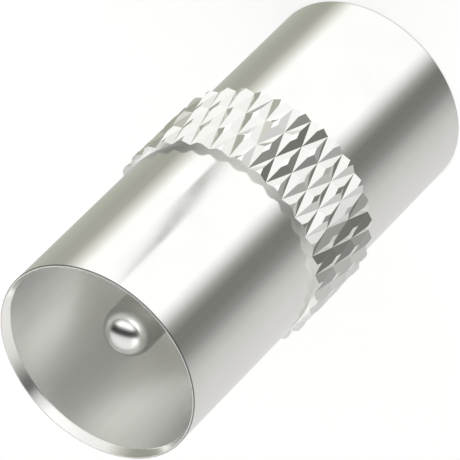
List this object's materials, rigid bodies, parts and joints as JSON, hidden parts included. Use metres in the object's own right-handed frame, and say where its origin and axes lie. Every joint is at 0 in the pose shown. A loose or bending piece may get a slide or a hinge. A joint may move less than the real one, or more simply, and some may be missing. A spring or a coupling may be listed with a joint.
{
  "type": "coaxial adapter",
  "caption": "Straight coaxial adapter with a recessed centre pin inside a plain thin sleeve at each end and a diamond knurled grip ring between them.",
  "frame": {"origin": "centre of the lower rim, on the part's axis", "axes": "+Z along the axis from the lower mouth to the upper mouth, which is the one further from the knurled ring"},
  "size_m": [0.0106, 0.0106, 0.0225],
  "materials": {
    "plated_brass": "polished nickel plating",
    "bead_plastic": "moulded polypropylene",
    "pin_plating": "satin nickel plating"
  },
  "bodies": {
    "root": {"shell": "plated_brass", "insulator": "bead_plastic", "centre_pin": "pin_plating"}
  },
  "joints": []
}
